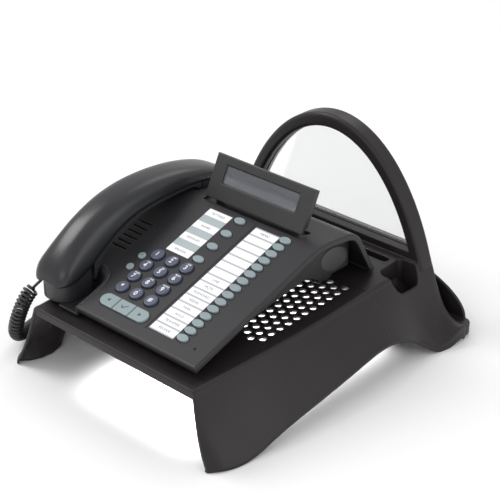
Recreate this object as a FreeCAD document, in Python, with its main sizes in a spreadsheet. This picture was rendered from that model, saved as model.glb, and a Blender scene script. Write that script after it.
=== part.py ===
import FreeCAD, Part
import math
import os
from FreeCAD import Placement, Rotation, Vector

# Desk telephone on an organiser stand. Millimetres, +Z up, +X to the right, +Y to the rear.
# Everything is laid out from the front edge of the tray, on the desk, in the middle of the
# stand; each sub-part's Placement then moves it back so that the origin is under the middle.

os.makedirs("parts", exist_ok=True)
doc = FreeCAD.newDocument("telephone_organiser")
sheet = doc.addObject("Spreadsheet::Sheet", "Dims")

DIMENSIONS = {
    # whole object
    "origin_back": 167.0,
    # stand
    "stand_wall": 3.0,
    "tray_front_height": 70.3,
    "tray_slope_deg": 1.5,
    "tray_edge_radius": 4.0,
    "front_lip_height": 9.5,
    "seam_back": 228.0,
    "hole_radius": 3.7,
    "hole_pitch_side": 9.4,
    "hole_pitch_back": 11.8,
    "hole_field_half": 94.0,
    "hole_field_front": 102.0,
    "hole_rows": 11,
    "arch_front": 305.0,
    "arch_depth": 20.0,
    "arch_outer_half": 138.0,
    "arch_outer_rise": 245.0,
    "arch_inner_half": 125.0,
    "arch_inner_rise": 230.0,
    "arch_centre_height": -42.0,
    "sill_height": 86.0,
    "window_thickness": 2.0,
    "window_lap": 2.5,
    "trough_back": 340.0,
    "trough_floor": 13.0,
    "trough_half": 165.0,
    "back_panel_height": 66.0,
    "foot_pad_radius": 4.5,
    "foot_pad_height": 1.0,
    # telephone
    "panel_right": 59.7,
    "panel_back": 34.0,
    "panel_height": 89.4,
    "panel_pitch_deg": 18.0,
    "shell_wall": 2.5,
    "shell_rim": 6.0,
    "shell_left": -115.0,
    "shell_right": 95.0,
    "phone_foot_height": 2.0,
    "well_right": -62.0,
    "well_back": 63.0,
    "well_floor": 75.5,
    "ear_rest_right": -73.0,
    "ear_rest_front": 190.0,
    "ear_rest_floor": 118.5,
    "base_right": 80.0,
    # keys
    "key_gap": 0.3,
    "key_skirt_depth": 4.0,
    "key_skirt_height": 1.1,
    "key_skirt_lap": 1.0,
    "key_travel_room": 1.4,
    "board_thickness": 1.6,
    "dial_radius": 6.85,
    "dial_height": 2.4,
    "line_half_long": 6.5,
    "line_half_short": 4.1,
    "line_height": 1.8,
    "volume_radius": 4.1,
    "menu_half_long": 30.4,
    "menu_half_short": 7.2,
    "menu_height": 2.0,
    "menu_split": 0.8,
    # display
    "display_left": -57.0,
    "display_right": 69.0,
    "display_rise": 45.0,
    "display_drop": 3.0,
    "display_lean_deg": 27.0,
    "hinge_back": 190.8,
    "hinge_height": 138.5,
    "pin_radius": 1.5,
    "pin_running_gap": 0.05,
    "lcd_half_long": 47.0,
    "lcd_low": 14.5,
    "lcd_high": 32.5,
    # handset
    "handset_centre": -98.5,
    "handset_half": 22.5,
    "handset_wall": 2.4,
    # cord
    "coil_radius": 8.0,
    "cord_radius": 1.5,
}
for row, (alias, value) in enumerate(DIMENSIONS.items(), start=1):
    sheet.set(f"A{row}", alias)
    sheet.set(f"B{row}", str(value))
    sheet.setAlias(f"B{row}", alias)
doc.recompute()

sub_parts = []


def dim(alias):
    return float(sheet.get(alias))


def publish(obj, label):
    """Name a finished sub-part and note it for export."""
    obj.Label = label
    sub_parts.append(obj)
    return obj


def publish_shape(shape, label):
    """A sub-part whose shape comes from the functions below."""
    obj = doc.addObject("Part::Feature", label)
    obj.Shape = shape
    obj.setExpression(".Placement.Base.y", "-Dims.origin_back")
    return publish(obj, label)


# ---------------------------------------------------------------- shape helpers

def box(x_low, y_low, z_low, x_high, y_high, z_high):
    size = (x_high - x_low, y_high - y_low, z_high - z_low)
    return Part.makeBox(*size, Vector(x_low, y_low, z_low))


def rod(start, end, radius):
    along = end - start
    return Part.makeCylinder(radius, along.Length, start, along)


def fuse(*shapes):
    return shapes[0].multiFuse(list(shapes[1:])).removeSplitter()


def side_prism(points, x_low, x_high):
    """A solid with a straight-sided outline in the side view, points being (y, z)."""
    corners = [Vector(x_low, y, z) for y, z in points]
    outline = Part.makePolygon(corners + corners[:1])
    return Part.Face(outline).extrude(Vector(x_high - x_low, 0, 0))


def rounded_path(points, radii):
    """Edges through the points, with each inner corner rounded by its radius."""
    edges = []
    start = points[0]
    for before, corner, after, radius in zip(points, points[1:], points[2:], radii):
        into = (corner - before).normalize()
        out = (after - corner).normalize()
        half_turn = into.getAngle(out) / 2
        reach = radius * math.tan(half_turn)
        inward = (out - into).normalize()
        first = corner - into * reach
        last = corner + out * reach
        middle = corner + inward * (radius / math.cos(half_turn) - radius)
        edges.append(Part.LineSegment(start, first).toShape())
        edges.append(Part.Arc(first, middle, last).toShape())
        start = last
    edges.append(Part.LineSegment(start, points[-1]).toShape())
    return edges


def parallel(points, gap):
    """The same broken line in the side view, moved down by gap."""
    sides = []
    for first, second in zip(points, points[1:]):
        along = (second - first).normalize()
        down = Vector(0, along.z, -along.y) * gap
        sides.append((first + down, second + down, along))
    moved = [sides[0][0]]
    for (start, _, along), (other, _, across) in zip(sides, sides[1:]):
        turn = along.y * across.z - along.z * across.y
        reach = ((other.y - start.y) * across.z - (other.z - start.z) * across.y) / turn
        moved.append(start + along * reach)
    moved.append(sides[-1][1])
    return moved


def smooth_edge(points, x=0.0):
    """One curve through (y, z) points in the side view."""
    curve = Part.BSplineCurve()
    curve.interpolate([Vector(x, y, z) for y, z in points])
    return curve.toShape()


def curved_prism(top, bottom, x_low, x_high):
    """A solid between two curves in the side view that have the same end stations."""
    upper = smooth_edge(top, x_low)
    lower = smooth_edge(bottom, x_low)
    ends = []
    for high, low in ((top[0], bottom[0]), (top[-1], bottom[-1])):
        ends.append(Part.makeLine(Vector(x_low, *low), Vector(x_low, *high)))
    outline = Part.Wire(Part.__sortEdges__([upper, lower] + ends))
    return Part.Face(outline).extrude(Vector(x_high - x_low, 0, 0))


def rounded_plate(x_low, y_low, x_high, y_high, radii, z_low, z_high):
    """An upright block, its four plan corners rounded, starting at the low x, low y one."""
    signs = ((-1, -1), (1, -1), (1, 1), (-1, 1))
    spots = ((x_low, y_low), (x_high, y_low), (x_high, y_high), (x_low, y_high))
    turns = (180, 270, 0, 90)
    edges = []
    previous = None
    first = None
    for (sx, sy), (x, y), turn, radius in zip(signs, spots, turns, radii):
        centre = Vector(x - sx * radius, y - sy * radius, z_low)
        angles = [math.radians(turn + step) for step in (0, 45, 90)]
        arc = [centre + Vector(math.cos(a), math.sin(a), 0) * radius for a in angles]
        if previous is not None:
            edges.append(Part.makeLine(previous, arc[0]))
        else:
            first = arc[0]
        edges.append(Part.Arc(*arc).toShape())
        previous = arc[2]
    edges.append(Part.makeLine(previous, first))
    return Part.Face(Part.Wire(edges)).extrude(Vector(0, 0, z_high - z_low))


# ---------------------------------------------------------------- stand

def tray_height(y):
    return dim("tray_front_height") + y * math.tan(math.radians(dim("tray_slope_deg")))


# Half sections of the stand from front to back: where the section's top and its foot stand
# (y), half width at the top, the two middle poles of the skirt's curve, half width and
# height of the skirt's lower edge, and the height of its upright rim.
STATIONS = (
    (0.0, -9.0, 108.0, (112.5, 47.0), (119.0, 22.0), 130.0, 0.5, 3.0),
    (9.0, 7.0, 108.5, (114.0, 47.0), (127.0, 20.0), 141.0, 0.5, 3.0),
    (29.0, 29.0, 109.5, (117.0, 47.0), (132.0, 21.0), 146.0, 1.0, 3.0),
    (60.0, 60.0, 111.5, (120.0, 52.0), (135.0, 29.0), 149.0, 10.0, 3.0),
    (117.0, 117.0, 115.0, (124.0, 58.0), (138.0, 38.0), 151.0, 21.0, 3.0),
    (180.0, 180.0, 117.0, (126.0, 62.0), (140.0, 46.0), 152.0, 31.5, 3.0),
    (228.0, 228.0, 117.0, (126.0, 62.0), (140.0, 45.0), 152.0, 33.0, 3.0),
    (262.0, 262.0, 117.5, (126.0, 57.0), (140.0, 33.0), 156.0, 18.0, 3.0),
    (288.0, 288.0, 118.5, (127.0, 50.0), (138.0, 20.0), 162.0, 0.5, 6.0),
    (305.0, 305.0, 119.0, (129.0, 48.0), (137.0, 18.0), 165.5, 0.5, 11.0),
    (325.0, 325.0, 119.5, (131.0, 46.0), (136.0, 15.5), 167.0, 2.5, 13.0),
)


def half_section(station, inset, side):
    """Points of one side of a stand section, moved inwards by inset, as curves need them."""
    top_y, foot_y, top_half, upper_pole, lower_pole, foot_half, foot_height, rim = station
    top_z = tray_height(top_y) - inset
    radius = dim("tray_edge_radius") - inset / 2
    fall = (top_y - foot_y) / (tray_height(top_y) - foot_height)

    def at(x, z):
        return Vector(side * x, top_y - (tray_height(top_y) - z) * fall, z)

    edge_half = top_half - inset
    shoulder = at(edge_half, top_z - radius)
    bend = at(edge_half - radius * (1 - math.sqrt(0.5)), top_z - radius * (1 - math.sqrt(0.5)))
    return {
        "top": at(edge_half - radius, top_z),
        "bend": bend,
        "shoulder": shoulder,
        "upper": at(upper_pole[0] - inset, upper_pole[1] - inset * 0.3),
        "lower": at(lower_pole[0] - inset, lower_pole[1] - inset * 0.7),
        "rim_top": at(foot_half - inset, foot_height + rim - inset * (rim > 5)),
        "rim_foot": at(foot_half - inset, foot_height),
    }


def skirt_edges(points):
    """From the middle of the tray out to the foot of the rim."""
    curve = Part.BezierCurve()
    curve.setPoles([points[name] for name in ("shoulder", "upper", "lower", "rim_top")])
    return [
        Part.Arc(points["top"], points["bend"], points["shoulder"]).toShape(),
        curve.toShape(),
        Part.makeLine(points["rim_top"], points["rim_foot"]),
    ]


def section_wire(station):
    """The closed section of the one-piece stand: tray, skirts and their rims."""
    wall = dim("stand_wall")
    right_out = half_section(station, 0.0, 1)
    right_in = half_section(station, wall, 1)
    left_out = half_section(station, 0.0, -1)
    left_in = half_section(station, wall, -1)
    edges = [Part.makeLine(left_out["top"], right_out["top"])]
    edges += skirt_edges(right_out)
    edges.append(Part.makeLine(right_out["rim_foot"], right_in["rim_foot"]))
    edges += skirt_edges(right_in)
    edges.append(Part.makeLine(right_in["top"], left_in["top"]))
    edges += skirt_edges(left_in)
    edges.append(Part.makeLine(left_in["rim_foot"], left_out["rim_foot"]))
    edges += skirt_edges(left_out)
    return Part.Wire(Part.__sortEdges__(edges))


def stand_channel():
    return Part.makeLoft([section_wire(station) for station in STATIONS], True, False)


def foot_ledges(places, inside):
    """Short shelves inside the skirts that carry the rear rubber feet."""
    half = dim("foot_pad_radius") + 1.5
    low = dim("foot_pad_height")
    shelves = []
    for x, y in places:
        for side in (-1, 1):
            reach = sorted((side * (x - half), side * (x + 3 * half)))
            shelf = box(reach[0], y - half, low, reach[1], y + half, low + 2.5)
            shelves.append(shelf.common(inside))
    return shelves


FRONT_FEET = ((128.0, 21.0),)
REAR_FEET = ((152.0, 303.0),)

# The inner edge of the foot inside each front leg, front to back: half width and depth.
FOOT_EDGE = ((131.5, -6.0), (123.5, 3.0), (119.0, 14.0), (118.0, 26.0), (120.5, 40.0),
             (127.0, 54.0), (139.0, 68.0))


def front_foot(side, inside):
    """A sloped foot inside a front leg: it reaches inwards at the desk and thins upwards."""
    low = dim("foot_pad_height")
    sections = []
    for half, y in FOOT_EDGE:
        corners = [Vector(side * half, y, low), Vector(side * 160, y, low),
                   Vector(side * 160, y, low + 60), Vector(side * half, y, low + 2.0)]
        sections.append(Part.makePolygon(corners + corners[:1]))
    return Part.makeLoft(sections, True, True).common(inside)


def perforation():
    """Round holes in staggered columns."""
    pitch_side = dim("hole_pitch_side")
    pitch_back = dim("hole_pitch_back")
    half = dim("hole_field_half")
    columns = int(2 * half / pitch_side) + 1
    holes = []
    for column in range(columns):
        x = half - column * pitch_side
        shift = -pitch_back / 2 * (column % 2)
        for step in range(int(dim("hole_rows"))):
            y = dim("hole_field_front") + step * pitch_back + shift
            foot = Vector(x, y, tray_height(y) - 12)
            holes.append(Part.makeCylinder(dim("hole_radius"), 20, foot))
    return Part.makeCompound(holes)


def front_lip():
    """The rounded band that turns down from the tray's front edge."""
    top = tray_height(0)
    low = top - dim("front_lip_height")
    bar = box(-106, -0.5, low, 106, 4.0, top)
    edges = [e for e in bar.Edges if e.BoundBox.YMax < 0 and e.Length > 100]
    return bar.makeFillet(1.8, edges)


def make_platform(channel, inside):
    front = channel.common(box(-200, -50, -10, 200, dim("seam_back"), 200))
    body = fuse(front, front_lip(), front_foot(-1, inside), front_foot(1, inside))
    return publish_shape(body.cut(perforation()), "stand_platform")


def ellipse_prism(half, rise, y_low, y_high, z_cut):
    """An upright plate, its outline the part of an ellipse above z_cut."""
    centre = Vector(0, y_low, dim("arch_centre_height"))
    ellipse = Part.Ellipse(centre + Vector(0, 0, rise), centre + Vector(half, 0, 0), centre)
    plate = Part.Face(Part.Wire(ellipse.toShape())).extrude(Vector(0, y_high - y_low, 0))
    return plate.common(box(-200, y_low, z_cut, 200, y_high, 300))


def arch_band():
    front = dim("arch_front")
    back = front + dim("arch_depth")
    outer = ellipse_prism(dim("arch_outer_half"), dim("arch_outer_rise"), front, back,
                          tray_height(front) - 8)
    inner = ellipse_prism(dim("arch_inner_half"), dim("arch_inner_rise"), front - 1, back + 1,
                          dim("sill_height"))
    band = outer.cut(inner)
    rims = [e for e in band.Edges if e.Length > 100 and not isinstance(e.Curve, Part.Line)]
    return band.Solids[0].makeFillet(3.5, rims)


def window_solid(lap):
    middle = dim("arch_front") + dim("arch_depth") / 2
    half_depth = dim("window_thickness") / 2
    return ellipse_prism(dim("arch_inner_half") + lap, dim("arch_inner_rise") + lap,
                         middle - half_depth, middle + half_depth, dim("sill_height") - lap)


def rack_pockets():
    """The pen slot in the right shoulder and the scissors slot beside it."""
    pen = rounded_plate(99, 262, 124, 301, (11, 11, 5, 5), 24, 120)
    scissors = rounded_plate(56, 285, 92, 294, (3, 3, 3, 3), 24, 120)
    return pen, scissors


def pocket_liners():
    wall = dim("stand_wall") - 1
    pen = rounded_plate(99 - wall, 262 - wall, 124 + wall, 301 + wall, (12, 12, 6, 6), 22, 76)
    scissors = rounded_plate(56 - wall, 285 - wall, 92 + wall, 294 + wall, (4, 4, 4, 4), 22, 76)
    return pen, scissors


SCREW_SPOTS = (-105.0, -45.0, 45.0, 105.0)
STAND_SCREW_HEIGHT = 40.0


def make_rack_front(channel, inside):
    seam = dim("seam_back")
    back = dim("arch_front") + dim("arch_depth")
    wall = dim("stand_wall")
    shell = channel.common(box(-200, seam, -10, 200, back, 200))
    # the front wall of the trough closes the channel
    end_face = Part.Face(closed_section(STATIONS[-1], 0.0))
    end_wall = end_face.extrude(Vector(0, -wall, 0))
    body = fuse(shell, end_wall, arch_band(), *foot_ledges(REAR_FEET, inside))
    liners = [liner.common(inside) for liner in pocket_liners()]
    body = fuse(body, *liners)
    body = body.cut(window_solid(dim("window_lap")))
    for pocket in rack_pockets():
        body = body.cut(pocket)
    for x in SCREW_SPOTS:
        body = body.cut(rod(Vector(x, back - 5, STAND_SCREW_HEIGHT),
                            Vector(x, back + 1, STAND_SCREW_HEIGHT), 2.0))
    return publish_shape(body, "rack_front")


def closed_section(station, inset):
    """A section's outer line moved in by inset, and closed across its foot."""
    right = half_section(station, inset, 1)
    left = half_section(station, inset, -1)
    edges = [Part.makeLine(left["top"], right["top"])]
    edges += skirt_edges(right)
    edges += skirt_edges(left)
    edges.append(Part.makeLine(left["rim_foot"], right["rim_foot"]))
    return Part.Wire(Part.__sortEdges__(edges))


def channel_inside():
    """The space that the stand encloses, reaching a little into its walls."""
    return Part.makeLoft([closed_section(station, 0.5) for station in STATIONS], True, False)


def make_window():
    return publish_shape(window_solid(dim("window_lap")), "arch_window")


def make_rack_back():
    """Trough floor, its end lips and the rear panel, screwed to the front wall."""
    front = dim("arch_front") + dim("arch_depth")
    back = dim("trough_back")
    half = dim("trough_half")
    floor = dim("trough_floor")
    wall = dim("stand_wall")
    height = dim("back_panel_height")
    floor_plate = rounded_plate(-half, front, half, back + wall, (0.5, 0.5, 12, 12), floor - wall, floor)
    flange = box(-118, front, floor - wall, 118, front + wall, STAND_SCREW_HEIGHT + 12)
    skirt = rounded_plate(-half, front, half, back + wall, (0.5, 0.5, 12, 12), 2.5, floor)
    hollow = rounded_plate(-half + wall, front - 1, half - wall, back, (0.5, 0.5, 9, 9), 1, floor - wall)
    skirt = skirt.cut(hollow)
    rise = Part.Ellipse(Vector(half - 11, back, floor - 1), Vector(0, back, height),
                        Vector(0, back, floor - 1))
    panel = Part.Face(Part.Wire(rise.toShape())).extrude(Vector(0, wall, 0))
    panel = panel.common(box(-half, back, floor - 1, half, back + wall, height + 1))
    body = fuse(floor_plate, skirt, flange, panel)
    for x in SCREW_SPOTS:
        body = body.cut(rod(Vector(x, front - 1, STAND_SCREW_HEIGHT),
                            Vector(x, front + wall + 1, STAND_SCREW_HEIGHT), 1.7))
    return publish_shape(body, "rack_back")


# ---------------------------------------------------------------- telephone housing

PANEL = Placement(Vector(dim("panel_right"), dim("panel_back"), dim("panel_height")),
                  Rotation(Vector(1, 0, 0), dim("panel_pitch_deg")))


def on_panel(shape):
    """Move a shape from the panel's own axes (across, up the slope, out) to the part's."""
    return shape.transformed(PANEL.toMatrix(), True)


def panel_point(across, up, out=0.0):
    return PANEL.multVec(Vector(across, up, out))


def shell_line():
    """The top shell in the side view: key panel, crest and rear leg."""
    front = panel_point(0, -22)
    crest_front = panel_point(0, 156.7)
    crest_back = Vector(0, 236, 131.5)
    leg_end = Vector(0, 271, 68.8)
    return [Vector(0, p.y, p.z) for p in (front, crest_front, crest_back, leg_end)]


CREST_RADII = (60.0, 27.0)


def shell_wire(gap_low, gap_high, x):
    """A closed side outline between two depths under the shell's outer line."""
    upper = parallel(shell_line(), gap_low)
    lower = parallel(shell_line(), gap_high)
    upper_edges = rounded_path(upper, [radius - gap_low for radius in CREST_RADII])
    lower_edges = rounded_path(lower, [radius - gap_high for radius in CREST_RADII])
    ends = [Part.makeLine(upper[0], lower[0]), Part.makeLine(upper[-1], lower[-1])]
    wire = Part.Wire(Part.__sortEdges__(upper_edges + lower_edges + ends))
    wire.translate(Vector(x, 0, 0))
    return wire


def shell_slab(gap_low, gap_high, x_low, x_high):
    face = Part.Face(shell_wire(gap_low, gap_high, x_low))
    return face.extrude(Vector(x_high - x_low, 0, 0))


def under_shell(gap, x_low, x_high):
    """All the space below the shell's outer line moved down by gap."""
    upper = parallel(shell_line(), gap)
    edges = rounded_path(upper, [radius - gap for radius in CREST_RADII])
    front_low = Vector(0, upper[0].y, 0)
    back_low = Vector(0, upper[-1].y, 0)
    edges.append(Part.makeLine(upper[0], front_low))
    edges.append(Part.makeLine(front_low, back_low))
    edges.append(Part.makeLine(back_low, upper[-1]))
    wire = Part.Wire(Part.__sortEdges__(edges))
    wire.translate(Vector(x_low, 0, 0))
    return Part.Face(wire).extrude(Vector(x_high - x_low, 0, 0))


def foot_plane_solid(x_low, x_high):
    """Everything lower than the telephone's underside, which is parallel to the tray."""
    lift = dim("phone_foot_height")
    front, back = -20.0, 300.0
    points = ((front, 0), (back, 0), (back, tray_height(back) + lift),
              (front, tray_height(front) + lift))
    return side_prism(points, x_low, x_high)


def ellipse_solid(across, up, half_long, half_short, low, high):
    centre = Vector(across, up, low)
    ellipse = Part.Ellipse(centre + Vector(half_long, 0, 0), centre + Vector(0, half_short, 0),
                           centre)
    return Part.Face(Part.Wire(ellipse.toShape())).extrude(Vector(0, 0, high - low))


def stadium(across, up, half_long, half_short, low, high):
    radii = (half_short - 0.01,) * 4
    return rounded_plate(across - half_long, up - half_short, across + half_long,
                         up + half_short, radii, low, high)


DIAL_NAMES = (("1", "2", "3"), ("4", "5", "6"), ("7", "8", "9"), ("star", "0", "hash"))
DIAL_FIRST = (-98.6, 69.1)
DIAL_PITCH = (19.35, 16.43)
LINE_KEYS = 15
LINE_PITCH = 10.3
FUNCTION_KEYS = 4
FUNCTION_FIRST = (-58.5, 84.1)
FUNCTION_PITCH = 20.13
VOLUME_SPOTS = (("up", -112.4, 60.9), ("down", -112.4, 44.1))
MENU_CENTRE = (-76.5, 0.5)
SLOT_COUNT = 6
SLOT_FIRST = 60.0
SLOT_PITCH = 7.6
POSTS = ((36.0, 98.0), (-50.0, 128.0), (-40.0, 216.0), (34.0, 216.0))


def key_openings():
    gap = dim("key_gap")
    low, high = -8.0, 8.0
    cutters = []
    for line, names in enumerate(DIAL_NAMES):
        for column in range(len(names)):
            across = DIAL_FIRST[0] + column * DIAL_PITCH[0]
            up = DIAL_FIRST[1] - line * DIAL_PITCH[1]
            cutters.append(rod(Vector(across, up, low), Vector(across, up, high),
                               dim("dial_radius") + gap))
    for _, across, up in VOLUME_SPOTS:
        cutters.append(rod(Vector(across, up, low), Vector(across, up, high),
                           dim("volume_radius") + gap))
    spots = [(0.0, step * LINE_PITCH) for step in range(LINE_KEYS)]
    spots += [(FUNCTION_FIRST[0], FUNCTION_FIRST[1] + step * FUNCTION_PITCH)
              for step in range(FUNCTION_KEYS)]
    for across, up in spots:
        cutters.append(ellipse_solid(across, up, dim("line_half_long") + gap,
                                     dim("line_half_short") + gap, low, high))
    cutters.append(stadium(*MENU_CENTRE, dim("menu_half_long") + gap,
                           dim("menu_half_short") + gap, low, high))
    return [on_panel(cutter) for cutter in cutters]


LABEL_DEPTH = 0.8
LONG_LABEL = (-38.5, -5.5, -8.0, 146.0)
SHORT_LABEL = (-99.0, 80.0, -69.0, 145.5)


def label_plates(low, high):
    return [on_panel(box(x0, y0, low, x1, y1, high))
            for x0, y0, x1, y1 in (LONG_LABEL, SHORT_LABEL)]


def panel_marks():
    """Speaker slots, microphone hole and the groove between the two key fields."""
    marks = []
    for step in range(SLOT_COUNT):
        up = SLOT_FIRST + step * SLOT_PITCH
        marks.append(box(-154, up - 1.0, -5, -134, up + 1.0, 5))
    marks.append(rod(Vector(18.7, -4, -5), Vector(18.7, -4, 5), 1.0))
    marks.append(box(-41.4, -8, -0.5, -40.8, 152, 5))
    return [on_panel(mark) for mark in marks]


HINGE_LUGS = ((-46.0, -41.0), (53.0, 58.0))
HINGE_LUG_RADIUS = 3.2
RECESS_FLOOR = 133.9


def hinge_lugs():
    back, height = dim("hinge_back"), dim("hinge_height")
    lugs = []
    for x_low, x_high in HINGE_LUGS:
        foot = box(x_low, back - HINGE_LUG_RADIUS, RECESS_FLOOR - 1, x_high,
                   back + HINGE_LUG_RADIUS, height)
        eye = rod(Vector(x_low, back, height), Vector(x_high, back, height), HINGE_LUG_RADIUS)
        lugs.append(foot)
        lugs.append(eye)
    return lugs


def make_top_housing():
    left, right = dim("shell_left"), dim("shell_right")
    wall, rim = dim("shell_wall"), dim("shell_rim")
    body = shell_slab(0, rim, left, right)
    outer_line = Part.Wire(rounded_path(shell_line(), CREST_RADII))
    outer_line.translate(Vector(right, 0, 0))
    rounded = [e for e in body.Edges
               if e.BoundBox.XMin > right - 0.01
               and all(outer_line.distToShape(Part.Vertex(v.Point))[0] < 0.01 for v in e.Vertexes)]
    front_top = panel_point(0, -22)
    rounded += [e for e in body.Edges if e.Length > 200
                and abs(e.CenterOfMass.y - front_top.y) < 0.01
                and abs(e.CenterOfMass.z - front_top.z) < 0.01]
    body = body.makeFillet(2.0, rounded)
    inside = shell_slab(wall, rim + 4, left + 3, right - 3)
    front_stop = on_panel(box(-400, -60, -40, 400, -19, 40))
    body = body.cut(inside.cut(front_stop))
    # handset well at the front and ear rest at the back, both lined with walls
    well_back, well_right = dim("well_back"), dim("well_right")
    well_floor = dim("well_floor")
    ear_front, ear_right = dim("ear_rest_front"), dim("ear_rest_right")
    ear_floor = dim("ear_rest_floor")
    below = under_shell(0, left, right)
    well_block = rounded_plate(left, 12, well_right + wall, well_back + wall, (4, 4, 22, 1),
                               well_floor - 2, 130).common(below)
    clipped_corner = box(-140, -20, 60, well_right - 24, 36, 160)
    kept_corner = rounded_plate(left + 4, 19, well_right, 60, (16, 1, 1, 1), 50, 170)
    clipped_corner = clipped_corner.cut(kept_corner)
    ear_block = box(left, ear_front - wall, ear_floor - wall, ear_right + wall, 262,
                    140).common(below)
    recess_block = box(dim("display_left") - 3, 178, RECESS_FLOOR - wall,
                       dim("display_right") + 3, 199, 136).common(below)
    body = fuse(body, well_block, ear_block, recess_block)
    body = body.cut(rounded_plate(-140, -20, well_right, well_back, (1, 1, 20, 1),
                                  well_floor, 160))
    body = body.cut(clipped_corner)
    body = body.cut(box(-140, ear_front, ear_floor, ear_right, 280, 180))
    body = body.cut(rounded_plate(dim("display_left") - 0.8, 180.8, dim("display_right") + 0.8,
                                  196.5, (1, 1, 1, 1), RECESS_FLOOR, 160))
    posts = []
    for x, y in POSTS:
        post = rod(Vector(x, y, base_floor(y) + 0.3), Vector(x, y, 150), 3.5)
        posts.append(post.common(under_shell(wall - 0.5, x - 5, x + 5)))
    body = fuse(body, *hinge_lugs(), *posts)
    back, height = dim("hinge_back"), dim("hinge_height")
    bore = dim("pin_radius") + dim("pin_running_gap")
    cutters = key_openings() + panel_marks() + label_plates(-LABEL_DEPTH, 5)
    cutters.append(rod(Vector(-60, back, height), Vector(70, back, height), bore))
    cutters.append(foot_plane_solid(left - 5, right + 5))
    cutters.append(box(-8, 255, 80, 6, 275, 90))
    cutters.append(rod(Vector(dim("handset_centre"), 206, 100),
                       Vector(dim("handset_centre"), 206, 130), 4.3))
    for x, y in POSTS:
        cutters.append(rod(Vector(x, y, base_floor(y) - 1), Vector(x, y, base_floor(y) + 9), 1.45))
    body = body.cut(Part.makeCompound(cutters))
    return publish_shape(body, "phone_top_housing")


def base_floor(y):
    """Height of the inside of the telephone's bottom plate."""
    return tray_height(y) + dim("phone_foot_height") + dim("shell_wall")


BASE_BLOCK = (-108.0, 45.0, 83.0, 238.0)


def base_solid(inset):
    """The bottom housing's outside, or with an inset the room in it."""
    right = dim("base_right") - inset
    wedge = side_prism(((18.2 + inset, 76.1 + inset), (180, 98.5 + inset), (198, 88 + inset),
                        (241 - inset, 88 + inset), (241 - inset, 150), (18.2 + inset, 150)),
                       -108 + inset, right)
    x_low, x_high, y_low, y_high = BASE_BLOCK
    lift = dim("phone_foot_height") + inset
    y_low, y_high = y_low + inset, y_high - inset
    block = side_prism(((y_low, tray_height(y_low) + lift), (y_high, tray_height(y_high) + lift),
                        (y_high, 110), (y_low, 100)), x_low + inset, x_high - inset)
    return fuse(wedge, block)


def make_bottom_housing():
    wall = dim("shell_wall")
    left, right = dim("shell_left"), dim("shell_right")
    body = base_solid(0).common(under_shell(wall, left, right))
    body = body.cut(base_solid(wall))
    body = body.cut(rounded_plate(-140, -20, dim("well_right") + wall, dim("well_back") + wall,
                                  (1, 1, 22, 1), 60, 200))
    body = body.cut(box(-140, dim("ear_rest_front") - wall, dim("ear_rest_floor") - wall,
                        dim("ear_rest_right") + wall, 280, 180))
    body = body.cut(box(dim("display_left") - 3, 178, RECESS_FLOOR - wall,
                        dim("display_right") + 3, 199, 150))
    hook = [box(44, 205, base_floor(205) - 2.2, 72, 208, base_floor(205) + 0.3),
            box(44, 223, base_floor(223) - 2.2, 72, 226, base_floor(223) + 0.3),
            box(69, 205, base_floor(205) - 2.2, 72, 226, base_floor(226) + 0.3)]
    body = fuse(body, *hook)
    for x, y in POSTS:
        body = body.cut(rod(Vector(x, y, base_floor(y) - 4), Vector(x, y, base_floor(y) + 1), 1.6))
        body = body.cut(rod(Vector(x, y, base_floor(y) - 4), Vector(x, y, base_floor(y) - 1.2), 3.1))
    body = body.cut(box(-110, BASE_PLUG[1] - 4, BASE_PLUG[2] - 3.5, -105,
                        BASE_PLUG[1] + 4, BASE_PLUG[2] + 3.5))
    body = body.cut(module_port(0))
    return publish_shape(body, "phone_bottom_housing")


def module_port(grow):
    """The oval opening in the right wall that takes an add-on module."""
    centre = Vector(dim("base_right") - 1.5 - grow, 219, 104)
    ellipse = Part.Ellipse(Vector(0, 20, 0), Vector(0, 0, 12.5), Vector(0, 0, 0))
    plate = Part.Face(Part.Wire(ellipse.toShape())).extrude(Vector(6, 0, 0))
    plate.rotate(Vector(0, 0, 0), Vector(1, 0, 0), -12)
    plate.translate(centre)
    return plate


def make_module_cover():
    cover = module_port(0).common(box(60, 150, 60, dim("base_right") + 0.8, 260, 150))
    edges = [e for e in cover.Edges if e.BoundBox.XMin > dim("base_right") + 0.7]
    return publish_shape(cover.makeFillet(0.7, edges), "module_port_cover")


# ---------------------------------------------------------------- keys

def placed_key(obj, label, across, up):
    obj.Placement = Placement(panel_point(across, up) - Vector(0, dim("origin_back"), 0),
                              Rotation(Vector(1, 0, 0), dim("panel_pitch_deg")))
    return publish(obj, label)


def key_top_edge(solid, top):
    """Number of the edge loop round the top of a key."""
    return [number for number, edge in enumerate(solid.Shape.Edges, start=1)
            if edge.BoundBox.ZMin > top - 0.01]


def softened(solid, label, top, radius):
    """The key with its upper edge rounded."""
    doc.recompute()
    fillet = doc.addObject("Part::Fillet", label + "_edge")
    fillet.Base = solid
    fillet.Edges = [(number, radius, radius) for number in key_top_edge(solid, top)]
    return fillet


def round_key(label, radius_alias, height_alias, across, up):
    """A round cap with the skirt that keeps it under the panel."""
    cap = doc.addObject("Part::Cylinder", label + "_cap")
    cap.setExpression("Radius", "Dims." + radius_alias)
    cap.setExpression("Height", "Dims.key_skirt_depth + Dims." + height_alias)
    cap.setExpression(".Placement.Base.z", "-Dims.key_skirt_depth")
    skirt = doc.addObject("Part::Cylinder", label + "_skirt")
    skirt.setExpression("Radius", "Dims.key_skirt_lap + Dims." + radius_alias)
    skirt.setExpression("Height", "Dims.key_skirt_height")
    skirt.setExpression(".Placement.Base.z", "-Dims.key_skirt_depth")
    whole = doc.addObject("Part::MultiFuse", label + "_whole")
    whole.Shapes = [cap, skirt]
    placed_key(softened(whole, label, dim(height_alias), 0.9), label, across, up)


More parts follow.
